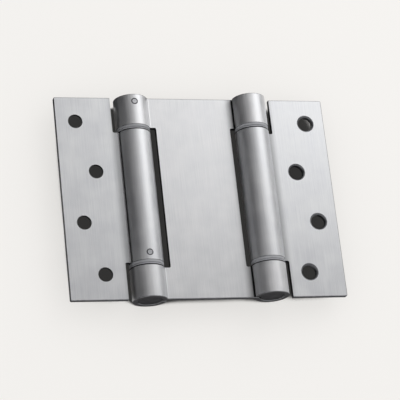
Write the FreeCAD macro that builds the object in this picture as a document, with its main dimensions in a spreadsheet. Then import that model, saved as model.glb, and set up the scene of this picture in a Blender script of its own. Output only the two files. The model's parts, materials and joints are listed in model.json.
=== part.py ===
"""Double action spring hinge: two leaves rolled on to the barrels of a centre plate.

Frame: +Z runs up along the barrels, +X to the right across the open hinge, and the front faces -Y.
The origin is the middle of the open hinge. The door leaf is on the left and the frame leaf on the right.
The hinge looks the same after half a turn about Z, so each piece of the frame side is the piece
of the door side, turned. Lengths are millimetres and angles are degrees.
"""
import FreeCAD
import Part
import Sketcher
import math
import os

# Driving dimensions, one sheet cell each
SIZES = (
    ("hinge_height", 127.0),
    ("sheet_thickness", 3.0),
    ("barrel_diameter", 20.6),
    ("axis_spacing", 73.4),
    ("leaf_reach", 47.8),
    # Air between two plates folded flat on each other, which sets how far the barrels stand off the plates
    ("closed_gap", 1.3),
    # The roll: inside radius of the bend off the plate, and air between the bend and the rolled end
    ("bend_radius", 1.5),
    ("seam_gap", 1.0),
    # Along a barrel: end knuckles of the centre plate, and a pair of washers at each running joint
    ("knuckle_length", 19.2),
    ("washer_thickness", 1.65),
    ("washer_play", 0.1),
    ("washer_setback", 0.1),
    # Cut-outs that let the knuckles pass: flat sheet left beside a leaf's bend, air beside a barrel
    # in the centre plate, and corner radii
    ("leaf_notch_flat", 0.8),
    ("plate_slot_gap", 3.2),
    ("notch_corner_radius", 1.0),
    ("leaf_corner_radius", 0.8),
    # Screw holes of a leaf, staggered between a line by its edge and a line by its notches
    ("screw_hole_diameter", 8.8),
    ("countersink_diameter", 10.9),
    ("countersink_angle", 90.0),
    ("hole_end_inset", 15.5),
    ("hole_edge_inset", 12.0),
    ("hole_notch_inset", 12.3),
    # Plugs inside the barrels, and the steel left between a plug's socket and its pin
    ("fit_clearance", 0.06),
    ("plug_recess", 0.3),
    ("plug_chamfer", 0.4),
    ("tension_journal", 12.0),
    ("anchor_journal", 15.0),
    ("socket_width", 6.0),
    ("socket_depth", 6.0),
    ("socket_wall", 0.78),
    # Pins through one barrel wall into a plug
    ("pin_diameter", 4.0),
    ("pin_clearance", 0.03),
    ("pin_end_gap", 0.2),
    ("pin_chamfer", 0.4),
    ("tension_pin_inset", 4.7),
    ("anchor_pin_inset", 4.2),
    # Torsion springs of square wire, clear of the bore, with legs in slots of the plugs
    ("wire_size", 2.6),
    ("coil_clearance", 0.6),
    ("coil_turns", 9.0),
    ("coil_end_gap", 0.6),
    ("leg_bend_share", 0.42),
    ("leg_length", 5.0),
    ("leg_side_gap", 0.35),
    ("leg_end_gap", 2.0),
    # How far a cut runs past the piece that it cuts
    ("cut_margin", 3.0),
)

# Sizes that follow from the driving dimensions
WORKED = (
    ("half_height", "sizes.hinge_height / 2"),
    ("half_sheet", "sizes.sheet_thickness / 2"),
    ("axis_x", "sizes.axis_spacing / 2"),
    ("axis_y", "(sizes.sheet_thickness + sizes.closed_gap) / 2"),
    ("barrel_radius", "sizes.barrel_diameter / 2"),
    ("bore_radius", "sizes.barrel_diameter / 2 - sizes.sheet_thickness"),
    ("plug_radius", "bore_radius - sizes.fit_clearance"),
    ("washer_radius", "barrel_radius - sizes.washer_setback"),
    ("seam_reach", "sizes.bend_radius + sizes.sheet_thickness + sizes.seam_gap"),
    ("leaf_edge_x", "axis_x + sizes.leaf_reach"),
    ("leaf_bend_x", "axis_x + barrel_radius + sizes.bend_radius"),
    ("leaf_notch_x", "leaf_bend_x + sizes.notch_corner_radius + sizes.leaf_notch_flat"),
    ("hole_outer_x", "leaf_edge_x - sizes.hole_edge_inset"),
    ("hole_inner_x", "leaf_notch_x + sizes.hole_notch_inset"),
    ("hole_pitch", "(sizes.hinge_height - 2 * sizes.hole_end_inset) / 3"),
    ("plate_slot_x", "axis_x - barrel_radius - sizes.plate_slot_gap"),
    ("barrel_near_x", "axis_x - barrel_radius - sizes.cut_margin"),
    ("barrel_far_x", "axis_x + barrel_radius + sizes.cut_margin"),
    ("past_end", "half_height + sizes.cut_margin"),
    ("knuckle_end", "half_height - sizes.knuckle_length"),
    ("leaf_knuckle_end", "knuckle_end - 2 * sizes.washer_thickness - sizes.washer_play"),
    ("plug_end", "half_height - sizes.plug_recess"),
    ("tension_face", "leaf_knuckle_end - sizes.tension_journal"),
    ("anchor_face", "sizes.anchor_journal - leaf_knuckle_end"),
    ("coil_bottom", "anchor_face + sizes.coil_end_gap + sizes.wire_size / 2"),
    ("coil_top", "tension_face - sizes.coil_end_gap - sizes.wire_size / 2"),
    ("coil_radius", "bore_radius - sizes.coil_clearance - sizes.wire_size / 2"),
    ("leg_corner_radius", "sizes.leg_bend_share * sizes.wire_size"),
    ("slot_width", "sizes.wire_size + 2 * sizes.leg_side_gap"),
    ("slot_depth", "sizes.leg_length + sizes.leg_end_gap"),
    ("tension_pin_height", "half_height - sizes.tension_pin_inset"),
    ("anchor_pin_height", "sizes.anchor_pin_inset - leaf_knuckle_end"),
    ("pin_hole_diameter", "sizes.pin_diameter + 2 * sizes.pin_clearance"),
    ("pin_hole_floor", "sizes.socket_width / sqrt(3) + sizes.socket_wall"),
)

# Places in a sketch: its origin, the ends of a line or arc, and the centre of a circle
ORIGIN = (-1, 1)
START = 1
END = 2
CENTRE = 3
X_AXIS = -1
Y_AXIS = -2

# How near an edge is to the place it's looked for, and the least volume that a real cut takes away
NEAR = 0.001
LEAST_CUT = 0.01

doc = FreeCAD.newDocument("double_action_spring_hinge")
sheet = doc.addObject("Spreadsheet::Sheet", "sizes")
worked = doc.addObject("App::VarSet", "worked")


def fill_sheet():
    """Write the driving dimensions and bind the sizes that follow from them."""
    for row, (name, number) in enumerate(SIZES, start=1):
        cell = "A%d" % row
        sheet.set(cell, str(number))
        sheet.setAlias(cell, name)
    doc.recompute()
    for name, expression in WORKED:
        worked.addProperty("App::PropertyFloat", name)
        worked.setExpression(name, expression)
    doc.recompute()


def size(name):
    """The number held by a sheet cell."""
    return float(sheet.get(name))


def new_body(label):
    body = doc.addObject("PartDesign::Body", label)
    body.Label = label
    return body


def new_sketch(body, role, name):
    """A sketch on one of the body's own origin planes."""
    sketch = body.newObject("Sketcher::SketchObject", name)
    plane = next(item for item in body.Origin.OriginFeatures if item.Role == role)
    sketch.AttachmentSupport = (plane, [""])
    sketch.MapMode = "FlatFace"
    return sketch


def move_sketch(sketch, expression):
    """Shift a sketch off its plane, along the plane's normal."""
    sketch.setExpression("AttachmentOffset.Base.z", expression)


def constrain(sketch, kind, *places):
    return sketch.addConstraint(Sketcher.Constraint(kind, *places))


def dimension(sketch, kind, places, name, expression):
    """A named dimension that starts at its drawn value and then follows the expression."""
    if kind == "Radius" or kind == "Diameter":
        drawn = sketch.Geometry[places[0]].Radius * (2 if kind == "Diameter" else 1)
    else:
        gap = sketch.getPoint(places[2], places[3]) - sketch.getPoint(places[0], places[1])
        drawn = {"DistanceX": gap.x, "DistanceY": gap.y, "Distance": gap.Length}[kind]
    index = constrain(sketch, kind, *places, drawn)
    sketch.renameConstraint(index, name)
    sketch.setExpression("Constraints." + name, expression)


def offset_from_origin(sketch, kind, place, name, expression, below):
    """Hold a point at a positive distance on one side of the origin."""
    places = place + ORIGIN if below else ORIGIN + place
    dimension(sketch, kind, places, name, expression)


def signed_height(sketch, place, name, expression, drawn):
    """Hold a point at a height that may lie above or below the origin."""
    if drawn < 0:
        dimension(sketch, "DistanceY", place + ORIGIN, name, "-(%s)" % expression)
    else:
        dimension(sketch, "DistanceY", ORIGIN + place, name, expression)


def add_arc(sketch, centre, radius, start, end):
    circle = Part.Circle(centre, FreeCAD.Vector(0, 0, 1), radius)
    return sketch.addGeometry(Part.ArcOfCircle(circle, start, end))


def add_line(sketch, start, end):
    return sketch.addGeometry(Part.LineSegment(start, end))


def add_circle(sketch, x, y, radius):
    centre = FreeCAD.Vector(x, y, 0)
    return sketch.addGeometry(Part.Circle(centre, FreeCAD.Vector(0, 0, 1), radius))


def add_rectangle(sketch, left, low, right, high):
    """Four lines, in the order low, right, high, left."""
    corners = [(left, low), (right, low), (right, high), (left, high)]
    points = [FreeCAD.Vector(x, y, 0) for x, y in corners]
    lines = [add_line(sketch, points[i], points[(i + 1) % 4]) for i in range(4)]
    for i in range(4):
        constrain(sketch, "Coincident", lines[i], END, lines[(i + 1) % 4], START)
        constrain(sketch, "Vertical" if i % 2 else "Horizontal", lines[i])
    return lines


def pad(body, sketch, name, expression, symmetric=False, reverse=False):
    feature = body.newObject("PartDesign::Pad", name)
    feature.Profile = sketch
    feature.SideType = "Symmetric" if symmetric else "One side"
    feature.Reversed = reverse
    feature.setExpression("Length", expression)
    doc.recompute()
    return feature


def cut_through(body, sketch, name, both_ways=True, reverse=False):
    """Cut a sketch through the body, and make sure that it took something away."""
    before = body.Shape.Volume
    feature = body.newObject("PartDesign::Pocket", name)
    feature.Profile = sketch
    feature.Type = "ThroughAll"
    feature.SideType = "Symmetric" if both_ways else "One side"
    feature.Reversed = reverse
    doc.recompute()
    check_cut(body, before, name)


def cut_depth(body, sketch, name, expression):
    """Cut a sketch down to a depth below its plane."""
    before = body.Shape.Volume
    feature = body.newObject("PartDesign::Pocket", name)
    feature.Profile = sketch
    feature.setExpression("Length", expression)
    doc.recompute()
    check_cut(body, before, name)


def check_cut(body, before, name):
    if not body.Shape.Volume < before - LEAST_CUT:
        raise RuntimeError(name + " cuts nothing")


def edges_at(shape, **place):
    """Names of the open edges that have both ends at the given coordinates."""
    names = []
    for index, edge in enumerate(shape.Edges, start=1):
        ends = [vertex.Point for vertex in edge.Vertexes]
        misses = [abs(getattr(end, axis) - value) for end in ends for axis, value in place.items()]
        if len(ends) == 2 and max(misses) < NEAR:
            names.append("Edge%d" % index)
    return names


def rims(shape, *heights):
    """Names of the full circles that lie at one of the heights."""
    names = []
    for index, edge in enumerate(shape.Edges, start=1):
        level = any(abs(edge.CenterOfMass.z - height) < NEAR for height in heights)
        if level and edge.Closed and isinstance(edge.Curve, Part.Circle):
            names.append("Edge%d" % index)
    return names


def dress_edges(body, kind, name, edges, measure, expression):
    """Fillet or chamfer the named edges of the body's last feature."""
    base = body.Tip
    feature = body.newObject("PartDesign::" + kind, name)
    feature.Base = (base, edges)
    feature.setExpression(measure, expression)
    doc.recompute()


def place_on_barrel(body, turned):
    """Stand a piece on a barrel's axis: the door barrel, or the frame barrel half a turn round."""
    side = "" if turned else "-"
    front = "-" if turned else ""
    body.setExpression("Placement.Base.x", side + "worked.axis_x")
    body.setExpression("Placement.Base.y", front + "worked.axis_y")
    if turned:
        body.Placement.Rotation = FreeCAD.Rotation(FreeCAD.Vector(0, 0, 1), 180)


# Sheet metal: a plate whose edge is bent off and rolled into a barrel

def bend_centre(barrel, plate_side, concave_side):
    """Centre of the bend between a plate and its barrel.

    plate_side is -1 where the plate leaves the barrel to the left and 1 to the right.
    concave_side is 1 where the bend is hollow on the back of the plate and -1 on its front.
    """
    height = concave_side * (worked.half_sheet + size("bend_radius"))
    reach = worked.barrel_radius + size("bend_radius")
    across = math.sqrt(reach ** 2 - (height - barrel.y) ** 2)
    return FreeCAD.Vector(barrel.x + plate_side * across, height, 0)


def add_roll(sketch, barrel, bend, plate_angle, tag):
    """Draw one rolled barrel: bend, outside, rolled end, bore and bend again.

    plate_angle is the direction from the bend's centre to the plate. The two bends start on the plate
    and end on the barrel, and the barrel's arcs start at the rolled end and end on the bends.
    """
    bend_radius = size("bend_radius")
    radius = worked.barrel_radius
    reach = radius + bend_radius
    toward_bend = math.atan2(bend.y - barrel.y, bend.x - barrel.x)
    turn = (toward_bend + math.pi - plate_angle) % (2 * math.pi)
    cosine = (radius ** 2 + reach ** 2 - worked.seam_reach ** 2) / (2 * radius * reach)
    seam = toward_bend + math.acos(cosine)
    full = toward_bend + 2 * math.pi
    ray = FreeCAD.Vector(math.cos(seam), math.sin(seam), 0)

    inner_bend = add_arc(sketch, bend, bend_radius, plate_angle, plate_angle + turn)
    outside = add_arc(sketch, barrel, radius, seam, full)
    rolled_end = add_line(sketch, barrel + ray * radius, barrel + ray * worked.bore_radius)
    bore = add_arc(sketch, barrel, worked.bore_radius, seam, full)
    outer_radius = bend_radius + size("sheet_thickness")
    outer_bend = add_arc(sketch, bend, outer_radius, plate_angle, plate_angle + turn)

    constrain(sketch, "Coincident", inner_bend, CENTRE, outer_bend, CENTRE)
    constrain(sketch, "Coincident", outside, CENTRE, bore, CENTRE)
    constrain(sketch, "Tangent", inner_bend, END, outside, END)
    constrain(sketch, "Tangent", outer_bend, END, bore, END)
    constrain(sketch, "Coincident", outside, START, rolled_end, START)
    constrain(sketch, "Coincident", rolled_end, END, bore, START)
    constrain(sketch, "PointOnObject", outside, CENTRE, rolled_end)
    dimension(sketch, "Radius", (inner_bend,), tag + "_bend", "sizes.bend_radius")
    dimension(sketch, "Radius", (outside,), tag + "_barrel", "worked.barrel_radius")
    seam_places = (inner_bend, CENTRE, outside, START)
    dimension(sketch, "Distance", seam_places, tag + "_seam", "worked.seam_reach")
    left = barrel.x < 0
    offset_from_origin(sketch, "DistanceX", (outside, CENTRE), tag + "_axis_x", "worked.axis_x", left)
    offset_from_origin(sketch, "DistanceY", (outside, CENTRE), tag + "_axis_y", "worked.axis_y", not left)
    return inner_bend, outer_bend, outside


def leaf_profile(body):
    """Section of a leaf across the barrel: plate on the left, rolled to the back at its right edge."""
    sketch = new_sketch(body, "XY_Plane", "leaf_profile")
    barrel = FreeCAD.Vector(-worked.axis_x, worked.axis_y, 0)
    bend = bend_centre(barrel, -1, 1)
    inner_bend, outer_bend, outside = add_roll(sketch, barrel, bend, -math.pi / 2, "door")
    edge_x = barrel.x - size("leaf_reach")
    half = worked.half_sheet
    back = add_line(sketch, FreeCAD.Vector(edge_x, half, 0), FreeCAD.Vector(bend.x, half, 0))
    front = add_line(sketch, FreeCAD.Vector(edge_x, -half, 0), FreeCAD.Vector(bend.x, -half, 0))
    edge = add_line(sketch, FreeCAD.Vector(edge_x, -half, 0), FreeCAD.Vector(edge_x, half, 0))
    constrain(sketch, "Tangent", back, END, inner_bend, START)
    constrain(sketch, "Tangent", front, END, outer_bend, START)
    constrain(sketch, "Coincident", front, START, edge, START)
    constrain(sketch, "Coincident", back, START, edge, END)
    constrain(sketch, "Horizontal", back)
    constrain(sketch, "Horizontal", front)
    constrain(sketch, "Vertical", edge)
    dimension(sketch, "DistanceY", (edge, START, edge, END), "sheet", "sizes.sheet_thickness")
    dimension(sketch, "DistanceY", (edge, START) + ORIGIN, "half_sheet", "worked.half_sheet")
    dimension(sketch, "DistanceX", (edge, START, outside, CENTRE), "reach", "sizes.leaf_reach")
    return sketch


def centre_profile(body):
    """Section of the centre plate: rolled to its front at the door barrel, to its back at the other."""
    sketch = new_sketch(body, "XY_Plane", "centre_profile")
    door = FreeCAD.Vector(-worked.axis_x, worked.axis_y, 0)
    door_bend = bend_centre(door, 1, -1)
    half = worked.half_sheet
    door_inner, door_outer, _ = add_roll(sketch, door, door_bend, math.pi / 2, "door")
    frame_inner, frame_outer, _ = add_roll(sketch, -door, -door_bend, -math.pi / 2, "frame")
    left = door_bend.x
    front = add_line(sketch, FreeCAD.Vector(left, -half, 0), FreeCAD.Vector(-left, -half, 0))
    back = add_line(sketch, FreeCAD.Vector(left, half, 0), FreeCAD.Vector(-left, half, 0))
    constrain(sketch, "Tangent", front, START, door_inner, START)
    constrain(sketch, "Tangent", back, START, door_outer, START)
    constrain(sketch, "Tangent", front, END, frame_outer, START)
    constrain(sketch, "Tangent", back, END, frame_inner, START)
    constrain(sketch, "Horizontal", front)
    constrain(sketch, "Horizontal", back)
    dimension(sketch, "DistanceY", (front, START) + ORIGIN, "front_face", "worked.half_sheet")
    dimension(sketch, "DistanceY", ORIGIN + (back, START), "back_face", "worked.half_sheet")
    return sketch


def screw_holes(body):
    """Four countersunk holes, sunk from the back, in two staggered lines."""
    sketch = new_sketch(body, "XZ_Plane", "screw_hole_centres")
    move_sketch(sketch, "-worked.half_sheet")
    lines = (("hole_outer_x", worked.hole_outer_x), ("hole_inner_x", worked.hole_inner_x))
    for index, steps in enumerate((1.5, 0.5, -0.5, -1.5)):
        line, x = lines[index % 2]
        height = steps * worked.hole_pitch
        hole = add_circle(sketch, -x, height, size("screw_hole_diameter") / 2)
        tag = "hole_%d" % (index + 1)
        dimension(sketch, "Diameter", (hole,), tag, "sizes.screw_hole_diameter")
        offset_from_origin(sketch, "DistanceX", (hole, CENTRE), tag + "_x", "worked." + line, True)
        z_expression = "%s * worked.hole_pitch" % abs(steps)
        offset_from_origin(sketch, "DistanceY", (hole, CENTRE), tag + "_z", z_expression, steps < 0)
    doc.recompute()
    before = body.Shape.Volume
    feature = body.newObject("PartDesign::Hole", "screw_holes")
    feature.Profile = sketch
    doc.recompute()
    feature.ThreadType = "None"
    feature.DepthType = "ThroughAll"
    feature.HoleCutType = "Countersink"
    feature.HoleCutCustomValues = True
    feature.Reversed = True
    feature.setExpression("Diameter", "sizes.screw_hole_diameter")
    feature.setExpression("HoleCutDiameter", "sizes.countersink_diameter")
    feature.setExpression("HoleCutCountersinkAngle", "sizes.countersink_angle")
    doc.recompute()
    check_cut(body, before, "screw_holes")


def barrel_pin_hole(body, name, side, height, height_expression):
    """A round hole through one wall of a barrel: the front wall on the door side, the back on the other."""
    sketch = new_sketch(body, "XZ_Plane", name + "_circle")
    hole = add_circle(sketch, side * worked.axis_x, height, worked.pin_hole_diameter / 2)
    dimension(sketch, "Diameter", (hole,), "hole", "worked.pin_hole_diameter")
    offset_from_origin(sketch, "DistanceX", (hole, CENTRE), "axis_x", "worked.axis_x", side < 0)
    offset_from_origin(sketch, "DistanceY", (hole, CENTRE), "height", height_expression, height < 0)
    cut_through(body, sketch, name, both_ways=False, reverse=side < 0)


def make_leaf(label, turned):
    """A leaf: one sheet, rolled into the long middle knuckle, notched to pass the end knuckles."""
    body = new_body(label)
    pad(body, leaf_profile(body), "rolled_sheet", "sizes.hinge_height", symmetric=True)

    sketch = new_sketch(body, "XZ_Plane", "notch_outline")
    for tag, sign in (("upper", 1), ("lower", -1)):
        below = sign < 0
        ends = sorted((sign * worked.leaf_knuckle_end, sign * worked.past_end))
        low, right, high, left = add_rectangle(
            sketch, -worked.leaf_notch_x, ends[0], -worked.barrel_near_x, ends[1])
        near, far = (high, low) if below else (low, high)
        offset_from_origin(sketch, "DistanceY", (near, START), tag + "_end", "worked.leaf_knuckle_end", below)
        offset_from_origin(sketch, "DistanceY", (far, START), tag + "_past", "worked.past_end", below)
        offset_from_origin(sketch, "DistanceX", (left, START), tag + "_side", "worked.leaf_notch_x", True)
        offset_from_origin(sketch, "DistanceX", (right, START), tag + "_clear", "worked.barrel_near_x", True)
    cut_through(body, sketch, "notches")

    inner = edges_at(body.Shape, x=-worked.leaf_notch_x, z=worked.leaf_knuckle_end)
    inner += edges_at(body.Shape, x=-worked.leaf_notch_x, z=-worked.leaf_knuckle_end)
    dress_edges(body, "Fillet", "notch_corners", inner, "Radius", "sizes.notch_corner_radius")
    outer = edges_at(body.Shape, x=-worked.leaf_edge_x, z=worked.half_height)
    outer += edges_at(body.Shape, x=-worked.leaf_edge_x, z=-worked.half_height)
    dress_edges(body, "Fillet", "leaf_corners", outer, "Radius", "sizes.leaf_corner_radius")

    screw_holes(body)
    barrel_pin_hole(body, "anchor_pin_hole", -1, worked.anchor_pin_height, "-worked.anchor_pin_height")
    if turned:
        body.Placement.Rotation = FreeCAD.Rotation(FreeCAD.Vector(0, 0, 1), 180)
    return body


def make_centre_plate():
    """The centre plate: one sheet, rolled at both edges into an upper and a lower knuckle."""
    body = new_body("centre_plate")
    pad(body, centre_profile(body), "rolled_sheet", "sizes.hinge_height", symmetric=True)

    sketch = new_sketch(body, "XZ_Plane", "slot_outline")
    for tag, sign in (("door", -1), ("frame", 1)):
        left_of = sign < 0
        sides = sorted((sign * worked.plate_slot_x, sign * worked.barrel_far_x))
        low, right, high, left = add_rectangle(
            sketch, sides[0], -worked.knuckle_end, sides[1], worked.knuckle_end)
        near, far = (right, left) if left_of else (left, right)
        offset_from_origin(sketch, "DistanceX", (near, START), tag + "_side", "worked.plate_slot_x", left_of)
        offset_from_origin(sketch, "DistanceX", (far, START), tag + "_clear", "worked.barrel_far_x", left_of)
        offset_from_origin(sketch, "DistanceY", (high, START), tag + "_upper", "worked.knuckle_end", False)
        offset_from_origin(sketch, "DistanceY", (low, START), tag + "_lower", "worked.knuckle_end", True)
    cut_through(body, sketch, "slots")

    corners = []
    for x in (-worked.plate_slot_x, worked.plate_slot_x):
        corners += edges_at(body.Shape, x=x, z=worked.knuckle_end)
        corners += edges_at(body.Shape, x=x, z=-worked.knuckle_end)
    dress_edges(body, "Fillet", "slot_corners", corners, "Radius", "sizes.notch_corner_radius")

    for name, side in (("door_pin_hole", -1), ("frame_pin_hole", 1)):
        barrel_pin_hole(body, name, side, worked.tension_pin_height, "worked.tension_pin_height")
    return body


# Inside the barrels: plugs, pins, washers and torsion springs, each drawn on its barrel's own axis

def turned_plug(body, low, low_expression, high, high_expression):
    """A round plug between two heights, chamfered at both ends."""
    sketch = new_sketch(body, "XY_Plane", "plug_circle")
    circle = add_circle(sketch, 0, 0, worked.plug_radius)
    constrain(sketch, "Coincident", circle, CENTRE, *ORIGIN)
    dimension(sketch, "Radius", (circle,), "radius", "worked.plug_radius")
    move_sketch(sketch, low_expression)
    pad(body, sketch, "plug", "(%s) - (%s)" % (high_expression, low_expression))
    ends = rims(body.Shape, low, high)
    dress_edges(body, "Chamfer", "end_chamfers", ends, "Size", "sizes.plug_chamfer")


def spring_slot(body, face, face_expression, up):
    """A slot across a plug's inner end, for the leg of the spring."""
    sketch = new_sketch(body, "YZ_Plane", "slot_outline")
    half = worked.slot_width / 2
    margin = size("cut_margin")
    if up:
        low, high = face - margin, face + worked.slot_depth
        below, above = "sizes.cut_margin", "worked.slot_depth"
    else:
        low, high = face - worked.slot_depth, face + margin
        below, above = "worked.slot_depth", "sizes.cut_margin"
    lines = add_rectangle(sketch, -half, low, half, high)
    signed_height(sketch, (lines[0], START), "low", face_expression + " - " + below, low)
    signed_height(sketch, (lines[2], START), "high", face_expression + " + " + above, high)
    dimension(sketch, "DistanceX", (lines[0], START, lines[0], END), "width", "worked.slot_width")
    dimension(sketch, "DistanceX", (lines[0], START) + ORIGIN, "half_width", "worked.slot_width / 2")
    cut_through(body, sketch, "spring_slot")


def plug_pin_hole(body, height, height_expression):
    """A blind hole in the front of a plug, on the line of the hole through the barrel's wall."""
    sketch = new_sketch(body, "XZ_Plane", "pin_circle")
    hole = add_circle(sketch, 0, height, worked.pin_hole_diameter / 2)
    dimension(sketch, "Diameter", (hole,), "hole", "worked.pin_hole_diameter")
    constrain(sketch, "PointOnObject", hole, CENTRE, Y_AXIS)
    signed_height(sketch, (hole, CENTRE), "height", height_expression, height)
    move_sketch(sketch, "worked.pin_hole_floor")
    cut_through(body, sketch, "pin_hole", both_ways=False, reverse=True)


def hex_socket(body):
    """A six-sided socket in the top of the tension plug, for winding the spring."""
    sketch = new_sketch(body, "XY_Plane", "socket_outline")
    radius = size("socket_width") / math.sqrt(3)
    angles = [math.radians(60 * i) for i in range(6)]
    points = [FreeCAD.Vector(radius * math.cos(a), radius * math.sin(a), 0) for a in angles]
    ring = add_circle(sketch, 0, 0, radius)
    sketch.setConstruction(ring, True)
    constrain(sketch, "Coincident", ring, CENTRE, *ORIGIN)
    dimension(sketch, "Radius", (ring,), "corner_radius", "sizes.socket_width / sqrt(3)")
    sides = [add_line(sketch, points[i], points[(i + 1) % 6]) for i in range(6)]
    for i in range(6):
        constrain(sketch, "Coincident", sides[i], END, sides[(i + 1) % 6], START)
        constrain(sketch, "PointOnObject", sides[i], START, ring)
    for i in range(5):
        constrain(sketch, "Equal", sides[i], sides[i + 1])
    constrain(sketch, "PointOnObject", sides[0], START, X_AXIS)
    move_sketch(sketch, "worked.plug_end")
    cut_depth(body, sketch, "hex_socket", "sizes.socket_depth")


def make_tension_plug(label, turned):
    """Upper plug: pinned in the centre plate's top knuckle, and the journal of the leaf's knuckle."""
    body = new_body(label)
    turned_plug(body, worked.tension_face, "worked.tension_face", worked.plug_end, "worked.plug_end")
    hex_socket(body)
    spring_slot(body, worked.tension_face, "worked.tension_face", True)
    plug_pin_hole(body, worked.tension_pin_height, "worked.tension_pin_height")
    place_on_barrel(body, turned)
    return body


def make_anchor_plug(label, turned):
    """Lower plug: pinned in the leaf's knuckle, and the journal of the centre plate's bottom knuckle."""
    body = new_body(label)
    turned_plug(body, -worked.plug_end, "-worked.plug_end", worked.anchor_face, "worked.anchor_face")
    spring_slot(body, worked.anchor_face, "worked.anchor_face", False)
    plug_pin_hole(body, worked.anchor_pin_height, "worked.anchor_pin_height")
    place_on_barrel(body, turned)
    return body


def make_pin(label, height, height_expression, turned):
    """A short pin from the barrel's surface into the plug."""
    body = new_body(label)
    sketch = new_sketch(body, "XZ_Plane", "pin_circle")
    circle = add_circle(sketch, 0, height, size("pin_diameter") / 2)
    dimension(sketch, "Diameter", (circle,), "diameter", "sizes.pin_diameter")
    constrain(sketch, "PointOnObject", circle, CENTRE, Y_AXIS)
    signed_height(sketch, (circle, CENTRE), "height", height_expression, height)
    move_sketch(sketch, "worked.pin_hole_floor + sizes.pin_end_gap")
    pad(body, sketch, "pin", "worked.barrel_radius - worked.pin_hole_floor - sizes.pin_end_gap")
    ends = rims(body.Shape, height)
    dress_edges(body, "Chamfer", "end_chamfers", ends, "Size", "sizes.pin_chamfer")
    place_on_barrel(body, turned)
    return body


def make_washer(label, floor_expression, turned):
    """A flat thrust washer that stands on a height."""
    body = new_body(label)
    sketch = new_sketch(body, "XY_Plane", "washer_rings")
    rim = add_circle(sketch, 0, 0, worked.washer_radius)
    hole = add_circle(sketch, 0, 0, worked.bore_radius)
    constrain(sketch, "Coincident", rim, CENTRE, *ORIGIN)
    constrain(sketch, "Coincident", hole, CENTRE, *ORIGIN)
    dimension(sketch, "Radius", (rim,), "rim", "worked.washer_radius")
    dimension(sketch, "Radius", (hole,), "hole", "worked.bore_radius")
    move_sketch(sketch, floor_expression)
    pad(body, sketch, "washer", "sizes.washer_thickness")
    place_on_barrel(body, turned)
    return body


def wire_section(sketch, middle):
    """Draw a square of wire on the coil's radius, about a height in the sketch."""
    half = size("wire_size") / 2
    radius = worked.coil_radius
    lines = add_rectangle(sketch, radius - half, middle - half, radius + half, middle + half)
    dimension(sketch, "DistanceX", (lines[0], START, lines[0], END), "width", "sizes.wire_size")
    dimension(sketch, "DistanceY", (lines[1], START, lines[1], END), "height", "sizes.wire_size")
    inside = "worked.coil_radius - sizes.wire_size / 2"
    dimension(sketch, "DistanceX", ORIGIN + (lines[0], START), "inside", inside)
    return lines[0]


def spring_leg(body, name, start, start_expression, length_expression, upward):
    """A leg of square wire along the barrel, from the end of the coil into a plug's slot."""
    sketch = new_sketch(body, "XY_Plane", name + "_section")
    low_line = wire_section(sketch, 0)
    dimension(sketch, "DistanceY", (low_line, START) + ORIGIN, "half_wire", "sizes.wire_size / 2")
    move_sketch(sketch, start_expression)
    pad(body, sketch, name, length_expression, reverse=not upward)
    half = size("wire_size") / 2
    corner = edges_at(body.Shape, y=half if upward else -half, z=start)
    dress_edges(body, "Fillet", name + "_bend", corner, "Radius", "worked.leg_corner_radius")


def make_spring(label, turned):
    """A torsion spring of square wire: an open right-handed coil with a leg along the barrel at each end."""
    body = new_body(label)
    sketch = new_sketch(body, "XZ_Plane", "wire_section")
    low_line = wire_section(sketch, worked.coil_bottom)
    half = size("wire_size") / 2
    low = worked.coil_bottom - half
    signed_height(sketch, (low_line, START), "floor", "worked.coil_bottom - sizes.wire_size / 2", low)
    doc.recompute()
    coil = body.newObject("PartDesign::AdditiveHelix", "coil")
    coil.Profile = sketch
    coil.ReferenceAxis = (sketch, ["V_Axis"])
    coil.Mode = "height-turns-angle"
    coil.setExpression("Height", "worked.coil_top - worked.coil_bottom")
    coil.setExpression("Turns", "sizes.coil_turns")
    doc.recompute()
    lower_start = "worked.coil_bottom + sizes.wire_size / 2"
    lower_length = lower_start + " - worked.anchor_face + sizes.leg_length"
    spring_leg(body, "lower_leg", worked.coil_bottom + half, lower_start, lower_length, False)
    upper_start = "worked.coil_top - sizes.wire_size / 2"
    upper_length = "worked.tension_face + sizes.leg_length - (%s)" % upper_start
    spring_leg(body, "upper_leg", worked.coil_top - half, upper_start, upper_length, True)
    place_on_barrel(body, turned)
    return body


def make_barrel_pieces(side, turned):
    """Everything inside and between the knuckles of one barrel."""
    thick = "sizes.washer_thickness"
    floors = (
        ("upper_outer", "worked.knuckle_end - " + thick),
        ("upper_inner", "worked.leaf_knuckle_end"),
        ("lower_inner", "-worked.leaf_knuckle_end - " + thick),
        ("lower_outer", "-worked.knuckle_end"),
    )
    pieces = [
        make_tension_plug(side + "_tension_plug", turned),
        make_pin(side + "_tension_pin", worked.tension_pin_height, "worked.tension_pin_height", turned),
        make_spring(side + "_spring", turned),
        make_anchor_plug(side + "_anchor_plug", turned),
        make_pin(side + "_anchor_pin", worked.anchor_pin_height, "worked.anchor_pin_height", turned),
    ]
    for place, floor in floors:
        pieces.append(make_washer("%s_washer_%s" % (side, place), floor, turned))
    return pieces


def check_document(pieces):
    """Stop if any object failed to build or any piece isn't one sound solid."""
    doc.recompute()
    for item in doc.Objects:
        if "Invalid" in item.State or "Error" in item.State:
            raise RuntimeError("%s failed: %s" % (item.Label, item.State))
    for piece in pieces:
        shape = piece.Shape
        if shape.isNull() or not shape.isValid() or len(shape.Solids) != 1:
            raise RuntimeError(piece.Label + " isn't one sound solid")


def write_pieces(pieces):
    os.makedirs("parts", exist_ok=True)
    for piece in pieces:
        piece.Shape.exportStep("parts/%s.step" % piece.Label)


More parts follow.
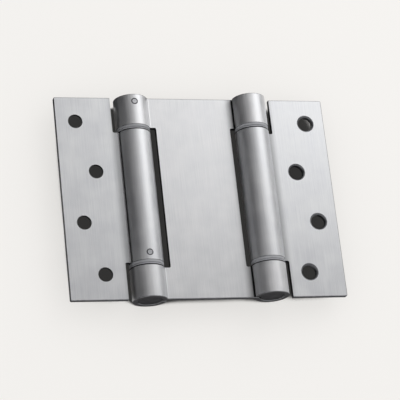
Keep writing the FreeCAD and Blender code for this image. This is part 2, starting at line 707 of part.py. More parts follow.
def main():
    fill_sheet()
    pieces = [make_centre_plate(), make_leaf("door_leaf", False), make_leaf("frame_leaf", True)]
    pieces += make_barrel_pieces("door", False)
    pieces += make_barrel_pieces("frame", True)
    check_document(pieces)
    write_pieces(pieces)


main()
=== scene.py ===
"""Looks of a double action spring hinge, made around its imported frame.

Lengths are metres. +Z runs up along the barrels, +X goes from the door leaf to the frame leaf, and the
front faces -Y. The hinge looks the same after half a turn about Z, so the frame leaf is a turned copy.
"""
import json
import math

import bpy
from mathutils import Matrix, Vector


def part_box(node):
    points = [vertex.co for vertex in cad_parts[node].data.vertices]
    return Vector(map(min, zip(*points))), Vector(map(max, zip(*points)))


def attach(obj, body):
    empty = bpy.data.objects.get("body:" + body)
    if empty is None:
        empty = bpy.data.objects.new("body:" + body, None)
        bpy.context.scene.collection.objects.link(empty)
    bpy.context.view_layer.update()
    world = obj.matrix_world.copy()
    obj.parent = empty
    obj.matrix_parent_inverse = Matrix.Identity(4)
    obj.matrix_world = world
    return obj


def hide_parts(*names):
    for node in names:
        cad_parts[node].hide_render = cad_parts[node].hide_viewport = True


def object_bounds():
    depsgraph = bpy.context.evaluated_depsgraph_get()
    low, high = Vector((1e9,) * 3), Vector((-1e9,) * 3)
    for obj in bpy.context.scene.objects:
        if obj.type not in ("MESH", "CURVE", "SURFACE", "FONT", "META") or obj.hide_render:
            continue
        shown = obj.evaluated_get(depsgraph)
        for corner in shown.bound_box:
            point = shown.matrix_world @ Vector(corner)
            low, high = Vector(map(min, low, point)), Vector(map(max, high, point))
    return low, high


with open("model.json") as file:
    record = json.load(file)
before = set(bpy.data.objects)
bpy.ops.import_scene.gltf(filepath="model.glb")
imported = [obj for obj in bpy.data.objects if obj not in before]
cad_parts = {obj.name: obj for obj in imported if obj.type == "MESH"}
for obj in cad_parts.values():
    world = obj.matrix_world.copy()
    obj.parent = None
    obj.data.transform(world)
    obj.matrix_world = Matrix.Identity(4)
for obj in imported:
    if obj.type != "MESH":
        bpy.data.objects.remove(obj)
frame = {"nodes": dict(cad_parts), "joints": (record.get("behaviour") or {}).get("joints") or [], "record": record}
cad_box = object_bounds()

MM = 0.001
QUARTER_TURN = math.pi / 2
HALF_TURN = math.pi
FULL_TURN = 2 * math.pi

# Sizes that the frame gives
joints = {joint["name"]: joint for joint in frame["joints"]}
mounts = {mount["name"]: mount for mount in frame["record"]["mounts"]}
door_axis = Vector(joints["door_joint"]["pos_m"])
frame_axis = Vector(joints["frame_joint"]["pos_m"])
half_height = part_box("centre_plate")[1].z
half_sheet = abs(mounts["door_mounting_face"]["pos_m"][1])
sheet_thickness = 2 * half_sheet
barrel_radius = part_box("centre_plate")[1].x - frame_axis.x
leaf_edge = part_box("door_leaf")[0].x
knuckle_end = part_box("door_washer_upper_outer")[1].z
leaf_knuckle_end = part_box("door_washer_upper_inner")[0].z

# Forms of the rolled sheet, as its solids have them
BEND_RADIUS = 1.5 * MM
SEAM_GAP = 1.0 * MM
NOTCH_CORNER = 1.0 * MM
NOTCH_FLAT = 0.8 * MM
SLOT_GAP = 3.2 * MM
LEAF_CORNER = 0.8 * MM
COUNTERSINK_RADIUS = 5.45 * MM
PIN_HOLE_RADIUS = 2.03 * MM

# How far a cutter runs on past the sheet
CUT_MARGIN = 3 * MM
# How near a point is to the place it's looked for
FIND = 0.1 * MM
HAIR = 0.01 * MM
# How upright a normal is on the flat side of a washer
UPRIGHT = 0.9

# Edges: what linishing and tumbling round off
SHEET_EDGE = 0.35 * MM
WASHER_RIM = 0.35 * MM
# The lower washer of a pair has a wider rim, whose lower side is painted as shade
SHADED_RIM = 0.7 * MM
PIN_EDGE = 0.65 * MM
SMOOTH_ANGLE = math.radians(50)
BEVEL_ANGLE = math.radians(35)

# Divisions of round forms
BARREL_STEPS = 120
BEND_STEPS = 14
HOLE_SIDES = 64
WASHER_SIDES = 120
EDGE_STEPS = 4
NOTCH_STEPS = 8

# With no window, the spin tool turns clockwise for a positive angle
SPIN_SIGN = -1

# Places of the finishes on a sheet, after the satin of its faces: the sheared faces, the worn edges with their
# painted dark outline, and painted shade in the seams
SHEARED, WORN_SHADED, SHADED = 1, 2, 3


# Working by hand: selecting, cutting and finishing

def take_up(piece):
    """Select one piece by itself, ready to work on."""
    bpy.ops.object.select_all(action="DESELECT")
    piece.select_set(True)
    bpy.context.view_layer.objects.active = piece


def pick(piece, kind, test):
    """Enter edit mode with the vertices, edges or polygons selected whose every point passes the test."""
    take_up(piece)
    modes = ("vertices", "edges", "polygons")
    bpy.context.tool_settings.mesh_select_mode = [kind == mode for mode in modes]
    bpy.ops.object.mode_set(mode="EDIT")
    bpy.ops.mesh.select_all(action="DESELECT")
    bpy.ops.object.mode_set(mode="OBJECT")
    points = piece.data.vertices
    for item in getattr(piece.data, kind):
        corners = [item.index] if kind == "vertices" else item.vertices
        item.select = all(test(points[index].co) for index in corners)
    bpy.ops.object.mode_set(mode="EDIT")


def put_down():
    bpy.ops.object.mode_set(mode="OBJECT")


def give_finish(piece, index, test):
    """Give one of a piece's finishes to the faces whose every point passes the test."""
    pick(piece, "polygons", test)
    piece.active_material_index = index
    bpy.ops.object.material_slot_assign()
    put_down()


def apply_modifier(piece, kind, **settings):
    take_up(piece)
    modifier = piece.modifiers.new(kind.lower(), kind)
    for name, value in settings.items():
        setattr(modifier, name, value)
    bpy.ops.object.modifier_apply(modifier=modifier.name)


def cut(piece, cutter):
    """Take a cutter's shape out of a piece, and throw the cutter away."""
    apply_modifier(piece, "BOOLEAN", operation="DIFFERENCE", solver="EXACT", object=cutter,
                   material_mode="TRANSFER")
    bpy.data.objects.remove(cutter)


def round_edges(piece, width, material=0):
    """Round the sharp edges."""
    apply_modifier(piece, "BEVEL", width=width, segments=EDGE_STEPS, limit_method="ANGLE",
                   angle_limit=BEVEL_ANGLE, material=material)


def smooth_faces(piece):
    """Shade the curved faces smooth, and keep the flat ones flat to the light."""
    take_up(piece)
    bpy.ops.object.shade_smooth_by_angle(angle=SMOOTH_ANGLE)
    apply_modifier(piece, "WEIGHTED_NORMAL", keep_sharp=True)


def add_box(low, high, material):
    """A box between two corners, as a cutter."""
    bpy.ops.object.select_all(action="DESELECT")
    bpy.ops.mesh.primitive_cube_add(size=1, location=(low + high) / 2)
    box = bpy.context.object
    box.scale = high - low
    bpy.ops.object.transform_apply()
    box.data.materials.append(material)
    return box


def add_rod(place, radius, depth, material):
    """A round bar along Y, as a cutter or for a pin."""
    bpy.ops.object.select_all(action="DESELECT")
    bpy.ops.mesh.primitive_cylinder_add(
        vertices=HOLE_SIDES, radius=radius, depth=depth, location=place, rotation=(QUARTER_TURN, 0, 0))
    rod = bpy.context.object
    bpy.ops.object.transform_apply()
    rod.data.materials.append(material)
    return rod


def add_countersink(x, z, radius, material):
    """A cutter for a screw hole with a countersink at the back; it runs on past both faces."""
    sink = COUNTERSINK_RADIUS - radius
    seat = half_sheet - sink
    depth = 2 * sheet_thickness
    drill = add_rod((x, seat - depth / 2, z), radius, depth, material)
    pick(drill, "polygons", lambda point: point.y > seat - sink / 2)
    bpy.ops.mesh.extrude_region_move(TRANSFORM_OT_translate={"value": (0, 2 * sink, 0)})
    wide = (COUNTERSINK_RADIUS + sink) / radius
    bpy.ops.transform.resize(value=(wide, 1, wide), center_override=(x, seat + 2 * sink, z))
    put_down()
    return drill


def turned_copy(piece, name):
    """A copy with its own mesh, half a turn round about Z."""
    take_up(piece)
    bpy.ops.object.duplicate()
    copy = bpy.context.object
    copy.name = name
    copy.rotation_euler.z = HALF_TURN
    bpy.ops.object.transform_apply()
    return copy


# Sheet pieces: a flat strip whose edges are spun into bends and barrels, then given the sheet's thickness

def bend_centre(axis, plate_side, concave_side):
    """Centre of the bend between a plate and its barrel, with the plate left (-1) or right (1) of it."""
    height = concave_side * (half_sheet + BEND_RADIUS)
    across = math.sqrt((barrel_radius + BEND_RADIUS) ** 2 - (height - axis.y) ** 2)
    return Vector((axis.x + plate_side * across, height, 0))


def add_plate(name, left, right):
    """The middle surface of a flat plate, full height."""
    bpy.ops.object.select_all(action="DESELECT")
    bpy.ops.mesh.primitive_plane_add(
        size=1, rotation=(QUARTER_TURN, 0, 0), location=((left + right) / 2, 0, 0))
    plate = bpy.context.object
    plate.name = name
    plate.scale = (right - left, 2 * half_height, 1)
    bpy.ops.object.transform_apply()
    return plate


def roll(plate, centre, axis):
    """Bend the plate's edge off at a bend's centre and roll it round a barrel's axis, up to the seam."""
    toward_barrel = math.atan2(axis.y - centre.y, axis.x - centre.x)
    toward_plate = math.atan2(-centre.y, 0)
    bend = (toward_barrel - toward_plate) % FULL_TURN
    reach = barrel_radius + BEND_RADIUS
    seam = BEND_RADIUS + sheet_thickness + SEAM_GAP
    opening = math.acos((barrel_radius ** 2 + reach ** 2 - seam ** 2) / (2 * barrel_radius * reach))
    pick(plate, "edges", lambda point: abs(point.x - centre.x) < SEAM_GAP)
    bpy.ops.mesh.spin(steps=BEND_STEPS, angle=SPIN_SIGN * bend, center=centre, axis=(0, 0, 1))
    barrel = opening - FULL_TURN
    bpy.ops.mesh.spin(steps=BARREL_STEPS, angle=SPIN_SIGN * barrel, center=axis, axis=(0, 0, 1))
    put_down()


def thicken(plate, finishes):
    """Close the mesh's seams, give it the sheet's thickness with sheared edges, and round those.

    The edges are rounded before the holes and notches are cut, because the short edges that the cuts
    leave would hold the rounding back.
    """
    take_up(plate)
    bpy.ops.object.mode_set(mode="EDIT")
    bpy.ops.mesh.select_all(action="SELECT")
    bpy.ops.mesh.remove_doubles(threshold=HAIR)
    bpy.ops.mesh.normals_make_consistent(inside=False)
    put_down()
    for finish in finishes:
        plate.data.materials.append(finish)
    apply_modifier(plate, "SOLIDIFY", thickness=sheet_thickness, offset=0, use_even_offset=True,
                   material_offset_rim=SHEARED)
    round_edges(plate, SHEET_EDGE, material=WORN_SHADED)


def paint_seam_shade(sheet, centre):
    """Paint shade on the outside of a bend, where the rolled end stands close over it."""
    outside = BEND_RADIUS + sheet_thickness
    give_finish(sheet, SHADED, lambda point: abs((point.xy - centre.xy).length - outside) < FIND)


def round_corner(box, x, z):
    """Round the one edge along Y of a cutter box that stands at x and z."""
    pick(box, "edges", lambda point: abs(point.x - x) < FIND and abs(point.z - z) < FIND)
    bpy.ops.mesh.bevel(offset=NOTCH_CORNER, segments=NOTCH_STEPS, affect="EDGES")
    put_down()


def screw_places(side):
    """Centres and radii of a leaf's screw holes, from the record's mounts."""
    for line in ("outer", "inner"):
        mount = mounts["%s_screws_%s" % (side, line)]
        x, _, middle = mount["pos_m"]
        reach = mount["dims"]["spacing_y_mm"] * MM / 2
        for z in (middle + reach, middle - reach):
            yield x, z, mount["dims"]["hole_r_mm"] * MM


def drill_pin_hole(piece, axis, cad_node, wall_side, finish):
    """A hole through the front (-1) or the back (1) wall of a barrel, at a pin's height."""
    low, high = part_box(cad_node)
    wall = axis.y + wall_side * (barrel_radius - half_sheet)
    place = (axis.x, wall, (low.z + high.z) / 2)
    cut(piece, add_rod(place, PIN_HOLE_RADIUS, 2 * sheet_thickness, finish))


def make_door_leaf(finishes, drilled):
    """A leaf: plate on the left, rolled to the back into the long middle knuckle."""
    centre = bend_centre(door_axis, -1, 1)
    leaf = add_plate("door_leaf_sheet", leaf_edge, centre.x)
    pick(leaf, "vertices", lambda point: point.x < leaf_edge + LEAF_CORNER)
    bpy.ops.mesh.bevel(offset=LEAF_CORNER, segments=EDGE_STEPS, affect="VERTICES")
    put_down()
    roll(leaf, centre, door_axis)
    thicken(leaf, finishes)

    sheared = finishes[SHEARED]
    notch_x = door_axis.x - barrel_radius - BEND_RADIUS - NOTCH_CORNER - NOTCH_FLAT
    clear_x = door_axis.x + barrel_radius + CUT_MARGIN
    deep = 2 * barrel_radius
    for sign in (1, -1):
        ends = sorted((sign * leaf_knuckle_end, sign * (half_height + CUT_MARGIN)))
        notch = add_box(Vector((notch_x, -deep, ends[0])), Vector((clear_x, deep, ends[1])), sheared)
        round_corner(notch, notch_x, sign * leaf_knuckle_end)
        cut(leaf, notch)
    for x, z, radius in screw_places("door"):
        cut(leaf, add_countersink(x, z, radius, drilled))
    drill_pin_hole(leaf, door_axis, "door_anchor_pin", -1, sheared)
    smooth_faces(leaf)
    return leaf


def make_centre_sheet(finishes):
    """The centre plate: rolled to its front at the door barrel and to its back at the frame barrel."""
    door_bend = bend_centre(door_axis, 1, -1)
    frame_bend = bend_centre(frame_axis, -1, 1)
    plate = add_plate("centre_sheet", door_bend.x, frame_bend.x)
    roll(plate, door_bend, door_axis)
    roll(plate, frame_bend, frame_axis)
    thicken(plate, finishes)
    for centre in (door_bend, frame_bend):
        paint_seam_shade(plate, centre)

    sheared = finishes[SHEARED]
    slot_x = frame_axis.x - barrel_radius - SLOT_GAP
    clear_x = frame_axis.x + barrel_radius + CUT_MARGIN
    deep = 2 * barrel_radius
    for sign in (1, -1):
        sides = sorted((sign * slot_x, sign * clear_x))
        low, high = Vector((sides[0], -deep, -knuckle_end)), Vector((sides[1], deep, knuckle_end))
        slot = add_box(low, high, sheared)
        for z in (knuckle_end, -knuckle_end):
            round_corner(slot, sign * slot_x, z)
        cut(plate, slot)
    drill_pin_hole(plate, door_axis, "door_tension_pin", -1, sheared)
    drill_pin_hole(plate, frame_axis, "frame_tension_pin", 1, sheared)
    smooth_faces(plate)
    return plate


# Small turned pieces

def make_washer(cad_node, finish, low_finish, rim):
    """A thrust washer: a disc, bored, with a rolled rim that has its own finish on the lower side, painted shade
    under each pair.
    """
    low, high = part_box(cad_node)
    radius = (high.x - low.x) / 2
    bore = barrel_radius - sheet_thickness
    bpy.ops.object.select_all(action="DESELECT")
    bpy.ops.mesh.primitive_cylinder_add(
        vertices=WASHER_SIDES, radius=radius, depth=high.z - low.z, location=(low + high) / 2)
    washer = bpy.context.object
    washer.name = cad_node + "_ring"
    bpy.ops.object.transform_apply()
    bpy.context.tool_settings.mesh_select_mode = (False, False, True)
    for face in washer.data.polygons:
        face.select = abs(face.normal.z) > UPRIGHT
    bpy.ops.object.mode_set(mode="EDIT")
    bpy.ops.mesh.inset(thickness=radius - bore)
    bpy.ops.mesh.bridge_edge_loops()
    put_down()
    washer.data.materials.append(finish)
    washer.data.materials.append(low_finish)
    round_edges(washer, rim)
    smooth_faces(washer)
    give_finish(washer, 1, lambda point: point.z < low.z + rim + HAIR)
    return washer


def make_pin(cad_node, finish, groove):
    """A driven pin: a rod with a rounded end, flat in the middle, and a groove round it painted grey as shade."""
    low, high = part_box(cad_node)
    pin = add_rod((low + high) / 2, (high.x - low.x) / 2, high.y - low.y, finish)
    pin.name = cad_node + "_rod"
    pin.data.materials.append(groove)
    round_edges(pin, PIN_EDGE, material=1)
    smooth_faces(pin)
    return pin


# Materials

# Grain and clouds add up to about this range, from the dark to the light end of a tone
TONE_RANGE = (0.7, 1.3)
OIL_RANGE = (0.3, 0.7)
RELIEF = 0.02 * MM
OIL_SPOT = 4 * MM
# The wave texture has a ring every 2 pi / 20 of its unit
RINGS_PER_TURN = 20

# Tint of a metal at a grazing angle
BRIGHT_EDGE = "#FFFFFF"
DULL_EDGE = "#CACACC"
# This near black tint paints a thin dark outline of shade along rounded edges
SHADE_OUTLINE_EDGE = "#1C1C1E"

# Painted shade beside a barrel: its width, its tone, and the share of the unshaded tone that is left at the barrel
CORNER_SHADE_REACH = 6 * MM
CORNER_SHADE_TONE = "#2C2C2E"
LEAF_SHARE = 0.45
PLATE_SHARE = 0.4

# Contact shadow: how far it looks for the hinge, how it leans away from the light, the share of open sky
# where it is darkest and where it ends, and the part of the paper's tone that it leaves
SHADOW_REACH = 45 * MM
SHADOW_LEAN = math.radians(15)
SHADOW_LEAN_AXIS = (1, 0, -1)
SHADOW_SAMPLES = 64
SHADOW_RANGE = (0.41, 0.54)
SHADOW_TONE = 0.05
# Part of the paper's tone that the camera and reflections see as it is, whatever light falls on it
PALE_SHARE = 0.65


def linear(colour):
    """An sRGB hex colour as linear red, green, blue and alpha."""
    parts = [int(colour[start:start + 2], 16) / 255 for start in (1, 3, 5)]
    light = [part / 12.92 if part <= 0.04045 else ((part + 0.055) / 1.055) ** 2.4 for part in parts]
    return (*light, 1.0)


def node(tree, kind, inputs=None, **settings):
    """Add a node with its settings, and set or link its inputs."""
    made = tree.nodes.new("ShaderNode" + kind)
    for name, value in settings.items():
        setattr(made, name, value)
    for socket, value in (inputs or {}).items():
        if isinstance(value, bpy.types.NodeSocket):
            tree.links.new(value, made.inputs[socket])
        else:
            made.inputs[socket].default_value = value
    return made


def reckon(tree, operation, first, second=0.0):
    """The result of a sum on one or two values."""
    return node(tree, "Math", {0: first, 1: second}, operation=operation).outputs[0]


def spread_over(tree, value, start, end, interpolation="LINEAR"):
    """A value's range, start, as another range, end."""
    limits = {"From Min": start[0], "From Max": start[1], "To Min": end[0], "To Max": end[1]}
    return node(tree, "MapRange", {"Value": value, **limits}, interpolation_type=interpolation).outputs[0]


def blend(tree, share, first, second):
    """A colour between two others."""
    return node(tree, "Mix", {0: share, 6: first, 7: second}, data_type="RGBA").outputs[2]


def new_material(name):
    material = bpy.data.materials.new(name)
    material.use_nodes = True
    material.node_tree.nodes.clear()
    return material, material.node_tree


def give_surface(tree, shader):
    node(tree, "OutputMaterial", {"Surface": shader.outputs[0]})


def brushed_metal(name, dark, light, roughness, grain_size, cloud_size, bump, spread=0.0,
                  edge=BRIGHT_EDGE, corner=None):
    """A metal with grinding lines along one direction, over soft clouds of tone.

    dark and light are the ends of its tone, roughness the ends of its gloss, and grain_size the width of
    a line along X, Y and Z. With spread, upright lines widen a highlight to the sides. edge is the tint
    at a grazing angle, and corner a function that gives the share of the unshaded tone beside a barrel,
    the rest being painted shade.
    """
    material, tree = new_material(name)
    place = node(tree, "TexCoord").outputs["Object"]
    stretch = node(tree, "Mapping", {"Vector": place, "Scale": [1 / size for size in grain_size]})
    grain = node(tree, "TexNoise", {"Vector": stretch.outputs[0], "Scale": 1.0, "Detail": 3.0})
    clouds = node(tree, "TexNoise", {"Vector": place, "Scale": 1 / cloud_size, "Detail": 2.0})
    both = reckon(tree, "ADD", grain.outputs[0], clouds.outputs[0])
    tone = spread_over(tree, both, TONE_RANGE, (0, 1))
    colour = blend(tree, tone, linear(dark), linear(light))
    gloss = spread_over(tree, both, TONE_RANGE, roughness)
    lines = node(tree, "Bump", {"Height": grain.outputs[0], "Strength": bump, "Distance": RELIEF})
    # Painted shade beside a barrel: the tone goes to the dark shade tone as the share falls
    if corner:
        colour = blend(tree, corner(tree, place), linear(CORNER_SHADE_TONE), colour)
    shader = node(tree, "BsdfPrincipled", {
        "Base Color": colour, "Metallic": 1.0, "Roughness": gloss, "Anisotropic": spread,
        "Specular Tint": linear(edge), "Normal": lines.outputs[0]})
    give_surface(tree, shader)
    return material


def leaf_corner_shade(tree, place):
    """Share of the unshaded tone on a leaf: less where the plate comes up to its barrel, where painted shade
    darkens it.
    """
    parts = node(tree, "SeparateXYZ", {0: place})
    across = reckon(tree, "ABSOLUTE", parts.outputs[0])
    away = reckon(tree, "SUBTRACT", across, frame_axis.x + barrel_radius)
    unshaded_share = spread_over(tree, away, (0, CORNER_SHADE_REACH), (LEAF_SHARE, 1), "SMOOTHSTEP")
    barrel = reckon(tree, "LESS_THAN", away, -HAIR)
    return reckon(tree, "MAXIMUM", unshaded_share, barrel)


def plate_corner_shade(tree, place):
    """Share of the unshaded tone on the centre plate: less towards the two seams, and none beside them, where
    painted shade makes a dark line.
    """
    parts = node(tree, "SeparateXYZ", {0: place})
    face = reckon(tree, "SIGN", parts.outputs[1])
    across = reckon(tree, "MULTIPLY", parts.outputs[0], face)
    away = reckon(tree, "ADD", across, frame_axis.x - barrel_radius)
    grey = spread_over(tree, away, (0, CORNER_SHADE_REACH), (PLATE_SHARE, 1), "SMOOTHSTEP")
    black = spread_over(tree, away, (SEAM_GAP / 2, SEAM_GAP), (0, 1))
    unshaded_share = reckon(tree, "MULTIPLY", grey, black)
    barrel = reckon(tree, "LESS_THAN", away, -HAIR)
    return reckon(tree, "MAXIMUM", unshaded_share, barrel)


def turned_metal(name, dark, light, roughness, axis, line_size):
    """A metal with the lathe's rings round a barrel's axis, and oil in soft spots."""
    material, tree = new_material(name)
    place = node(tree, "TexCoord").outputs["Object"]
    centred = node(tree, "Mapping", {"Vector": place, "Location": (-axis.x, -axis.y, 0)})
    rings = node(tree, "TexWave", {
        "Vector": centred.outputs[0], "Scale": FULL_TURN / (RINGS_PER_TURN * line_size), "Distortion": 0.6,
        "Detail": 2.0}, wave_type="RINGS", rings_direction="Z")
    oil = node(tree, "TexNoise", {"Vector": place, "Scale": 1 / OIL_SPOT, "Detail": 3.0})
    colour = blend(tree, oil.outputs[0], linear(dark), linear(light))
    gloss = spread_over(tree, oil.outputs[0], OIL_RANGE, roughness)
    lines = node(tree, "Bump", {"Height": rings.outputs["Fac"], "Strength": 0.2, "Distance": RELIEF})
    shader = node(tree, "BsdfPrincipled", {
        "Base Color": colour, "Metallic": 1.0, "Roughness": gloss, "Specular Tint": linear(DULL_EDGE),
        "Normal": lines.outputs[0]})
    give_surface(tree, shader)
    return material


def card_paper(name, colour):
    """Matt card, for what the metal reflects."""
    material, tree = new_material(name)
    give_surface(tree, node(tree, "BsdfDiffuse", {"Color": linear(colour)}))
    return material


def table_paper(name, colour):
    """Matt pale paper, with a soft contact shadow where the hinge lies close over it.

    It is there for the front views only: from behind, a ray goes through it, and so do the later rays of
    its path, so that the back of the hinge is lit as the front is.
    """
    material, tree = new_material(name)
    path = node(tree, "LightPath").outputs
    surface = node(tree, "NewGeometry").outputs
    lean = node(tree, "VectorRotate", {
        "Vector": surface["Normal"], "Axis": SHADOW_LEAN_AXIS, "Angle": SHADOW_LEAN})
    open_sky = node(tree, "AmbientOcclusion", {"Distance": SHADOW_REACH, "Normal": lean.outputs[0]},
                    samples=SHADOW_SAMPLES)
    shade = spread_over(tree, open_sky.outputs["AO"], SHADOW_RANGE, (SHADOW_TONE, 1), "SMOOTHERSTEP")
    tone = blend(tree, shade, linear("#000000"), linear(colour))
    matt = node(tree, "BsdfDiffuse", {"Color": tone})
    lit = node(tree, "Emission", {"Color": tone, "Strength": 1.0})
    direct = reckon(tree, "ADD", path["Is Camera Ray"], path["Is Glossy Ray"])
    seen = reckon(tree, "ADD", direct, path["Is Transmission Ray"])
    share = reckon(tree, "MULTIPLY", seen, PALE_SHARE)
    paper = node(tree, "MixShader", {0: share, 1: matt.outputs[0], 2: lit.outputs[0]})
    gone = node(tree, "Math", {0: surface["Backfacing"], 1: path["Transparent Depth"]}, operation="ADD",
                use_clamp=True)
    clear = node(tree, "BsdfTransparent")
    shown = node(tree, "MixShader", {0: gone.outputs[0], 1: paper.outputs[0], 2: clear.outputs[0]})
    give_surface(tree, shown)
    return material


# Type 304 stainless sheet, linished along the barrels: soft grey with faint lines. The grit's own lines
# are about 0.1 mm wide, and are drawn wider here so that they show. Both darken beside their barrels
# with painted shade.
leaf_satin, plate_satin = [
    brushed_metal("linished_stainless_" + name, dark, light, (0.36, 0.44),
                  (0.5 * MM, 0.5 * MM, 25 * MM), 14 * MM, 0.1, spread=0.6, corner=corner)
    for name, dark, light, corner in (
        ("leaf", "#D0D1D4", "#E2E3E4", leaf_corner_shade), ("plate", "#D3D4D6", "#E5E5E6", plate_corner_shade))]
# Sheared edge of the same sheet: dull, with tear lines across its thickness, and painted dark as the shade its cut
# faces stand in
sheared_shaded_steel = brushed_metal("sheared_stainless", "#343436", "#4E4E50", (0.42, 0.55),
                              (0.4 * MM, 2 * MM, 0.4 * MM), 6 * MM, 0.3, edge=DULL_EDGE)
# Drilled and countersunk faces: dark grey in the holes' own shade, with fine rings from the drill
drilled_steel = brushed_metal("drilled_stainless", "#5C5D60", "#7C7D80", (0.3, 0.42),
                              (1.5 * MM, 0.3 * MM, 1.5 * MM), 5 * MM, 0.2)
# Edges broken by the linishing belt: greyer than the face, and tinted near black at a grazing angle,
# which paints a thin dark outline of shade from the front
worn_and_shaded_edge = brushed_metal("worn_edge_stainless", "#6C6D70", "#949598", (0.3, 0.4),
                          (0.8 * MM, 0.8 * MM, 6 * MM), 9 * MM, 0.05, edge=SHADE_OUTLINE_EDGE)
# Washers of plain steel, turned and tumbled: matt grey, with fine lines round the rim
washer_steel = brushed_metal("tumbled_washer_steel", "#B6B7BA", "#CCCDD0", (0.72, 0.82),
                             (6 * MM, 6 * MM, 0.25 * MM), 8 * MM, 0.1)
# Turned steel plugs, blackened and oiled; the lathe's feed of 0.15 mm is drawn as rings 0.6 mm apart
plug_steel = {
    side: turned_metal(side + "_blackened_plug_steel", "#202022", "#363638", (0.36, 0.5), axis, 0.6 * MM)
    for side, axis in (("door", door_axis), ("frame", frame_axis))}
# Driven pins: the hammered end is bright, and the groove round it is painted grey as shade
pin_steel = brushed_metal("driven_pin_steel", "#A9AAAD", "#C9CACC", (0.3, 0.42),
                          (0.5 * MM, 0.5 * MM, 0.5 * MM), 3 * MM, 0.15)
pin_groove_shade = brushed_metal("oil_grey_groove", "#5A5A5D", "#7C7C80", (0.4, 0.5),
                           (0.5 * MM, 0.5 * MM, 0.5 * MM), 3 * MM, 0.1)
# Painted shade in the seams and under each pair of washers: almost black
seam_shade = brushed_metal("oil_black_seam", "#1A1A1C", "#2E2E30", (0.45, 0.55),
                         (0.8 * MM, 0.8 * MM, 3 * MM), 4 * MM, 0.1, edge=DULL_EDGE)
# Oil-hardened spring wire: almost black, with a brown cast
spring_steel = brushed_metal("oiled_spring_steel", "#2B2A2B", "#454240", (0.3, 0.45),
                             (0.6 * MM, 0.6 * MM, 0.6 * MM), 7 * MM, 0.15)


# The hinge

cut_finishes = (sheared_shaded_steel, worn_and_shaded_edge, seam_shade)
door_sheet = make_door_leaf((leaf_satin, *cut_finishes), drilled_steel)
frame_sheet = turned_copy(door_sheet, "frame_leaf_sheet")
centre_sheet = make_centre_sheet((plate_satin, *cut_finishes))
for piece, cad_node, body in (
        (door_sheet, "door_leaf", "door_side"),
        (frame_sheet, "frame_leaf", "frame_side"),
        (centre_sheet, "centre_plate", "centre")):
    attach(piece, body)
    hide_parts(cad_node)

for side in ("door", "frame"):
    for level in ("upper", "lower"):
        for place, body in (("outer", "centre"), ("inner", side + "_side")):
            cad_node = "%s_washer_%s_%s" % (side, level, place)
            # The lower washer of a pair has a line of painted shade under it
            shaded_below = (level, place) in (("upper", "inner"), ("lower", "outer"))
            rim, low_finish = (SHADED_RIM, seam_shade) if shaded_below else (WASHER_RIM, washer_steel)
            washer = make_washer(cad_node, washer_steel, low_finish, rim)
            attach(washer, body)
            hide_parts(cad_node)
    for kind, body in (("tension", "centre"), ("anchor", side + "_side")):
        cad_node = "%s_%s_pin" % (side, kind)
        pin = make_pin(cad_node, pin_steel, pin_groove_shade)
        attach(pin, body)
        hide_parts(cad_node)
        frame["nodes"]["%s_%s_plug" % (side, kind)].data.materials[0] = plug_steel[side]
    frame["nodes"][side + "_spring"].data.materials[0] = spring_steel


# Studio: the hinge lies on its back on a pale table, in a pale room, as it does in the photograph

PAPER_TONE = "#F5F3F0"
TABLE_SIZE = 3.0
TABLE_GAP = 0.1 * MM
ROOM_LIGHT = 0.88
# Cards that only reflections see: name, tone, azimuth and elevation in degrees, distance, width, height
CARDS = (
    ("dark", "#3C3C3E", -70, 12, 0.58, 0.45, 1.10),
    ("mid", "#7E7E80", -42, 22, 0.61, 0.42, 0.55),
    ("grey", "#B0B0B2", -13, 22, 0.62, 0.34, 0.55),
    ("side", "#A2A2A4", 86, 22, 0.66, 0.40, 0.60),
    ("low", "#B2B2B4", 22, -8, 0.70, 0.50, 0.55))
SOFTBOX_AZIMUTH = 44
SOFTBOX_ELEVATION = 40
SOFTBOX_DISTANCE = 0.90
SOFTBOX_SIZE = 0.66
SOFTBOX_RADIANCE = 1.12
# The card on the table: its middle's place across and above the hinge, and its size
TABLE_CARD_X = -0.19
TABLE_CARD_RISE = 0.1
TABLE_CARD_WIDTH = 0.46
TABLE_CARD_HEIGHT = 0.20


def add_surface(name, place, rotation, width, height, material):
    bpy.ops.object.select_all(action="DESELECT")
    bpy.ops.mesh.primitive_plane_add(size=1, location=place, rotation=rotation)
    surface = bpy.context.object
    surface.name = name
    surface.scale = (width, height, 1)
    surface.data.materials.append(material)
    return surface


def direction(azimuth, elevation):
    """A unit vector to a place round the hinge: azimuth from the front to the right, elevation up."""
    around, up = math.radians(azimuth), math.radians(elevation)
    return Vector((math.sin(around) * math.cos(up), -math.cos(around) * math.cos(up), math.sin(up)))


def only_mirrored(card):
    card.visible_camera = False
    card.visible_diffuse = False
    card.visible_shadow = False


def add_card(name, azimuth, elevation, distance, width, height, material):
    """A card that only reflections see, as a photographer sets beside bright metal."""
    toward = direction(azimuth, elevation)
    rotation = toward.to_track_quat("Z", "Y").to_euler()
    only_mirrored(add_surface(name, toward * distance, rotation, width, height, material))


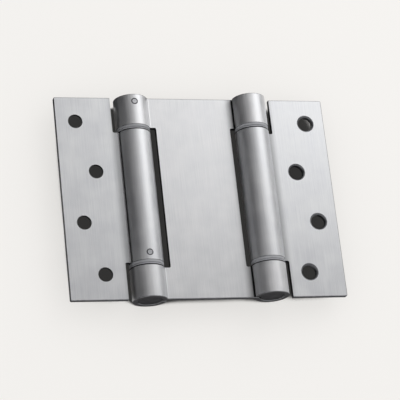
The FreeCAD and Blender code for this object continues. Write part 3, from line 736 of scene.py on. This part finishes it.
def add_softbox(name, azimuth):
    light = bpy.data.lights.new(name, "AREA")
    light.shape = "RECTANGLE"
    light.size = SOFTBOX_SIZE
    light.size_y = SOFTBOX_SIZE
    light.energy = SOFTBOX_RADIANCE * math.pi * SOFTBOX_SIZE * SOFTBOX_SIZE
    lamp = bpy.data.objects.new(name, light)
    bpy.context.scene.collection.objects.link(lamp)
    toward = direction(azimuth, SOFTBOX_ELEVATION)
    lamp.location = toward * SOFTBOX_DISTANCE
    lamp.rotation_euler = toward.to_track_quat("Z", "Y").to_euler()
    lamp.visible_camera = False


pale = table_paper("pale_paper", PAPER_TONE)
upright = (QUARTER_TURN, 0, 0)
add_surface("table", (0, cad_box[1].y + TABLE_GAP, 0), upright, TABLE_SIZE, TABLE_SIZE, pale)
papers = {card[0]: card_paper(card[0] + "_card", card[1]) for card in CARDS}
# The same set of cards and one softbox stand in front of the hinge and, half a turn round, behind it
for side, turned in (("front", 0), ("back", 180)):
    for name, _, azimuth, *rest in CARDS:
        add_card("%s_card_%s" % (side, name), turned + azimuth, *rest, papers[name])
    add_softbox(side + "_softbox", turned + SOFTBOX_AZIMUTH)

# One more dark card lies on the table above the hinge, for the barrels' upper ends
table_card_place = (TABLE_CARD_X, cad_box[1].y + TABLE_GAP / 2, half_height + TABLE_CARD_RISE)
only_mirrored(add_surface("table_card", table_card_place, upright, TABLE_CARD_WIDTH, TABLE_CARD_HEIGHT,
                          papers["dark"]))

world = bpy.data.worlds.new("pale_room")
bpy.context.scene.world = world
world.use_nodes = True
room = world.node_tree.nodes["Background"]
room.inputs["Color"].default_value = (ROOM_LIGHT, ROOM_LIGHT, ROOM_LIGHT, 1)


# Camera: where the photograph was taken from, fitted to the hinge's corners and holes

CAMERA_PLACE = Vector((-0.31772, -0.97290, -0.37631))
CAMERA_FORWARD = Vector((0.29126, 0.89269, 0.34389))
CAMERA_UP = Vector((0.00153, -0.35991, 0.93298))
CAMERA_LENS = 164.75
SENSOR_WIDTH = 36

lens = bpy.data.cameras.new("camera")
lens.lens = CAMERA_LENS
lens.sensor_width = SENSOR_WIDTH
camera = bpy.data.objects.new("camera", lens)
bpy.context.scene.collection.objects.link(camera)
turn = Matrix((CAMERA_FORWARD.cross(CAMERA_UP), CAMERA_UP, -CAMERA_FORWARD)).transposed()
camera.matrix_world = Matrix.LocRotScale(CAMERA_PLACE, turn.to_quaternion(), None)
bpy.context.scene.camera = camera
bpy.context.scene.view_settings.view_transform = "Standard"
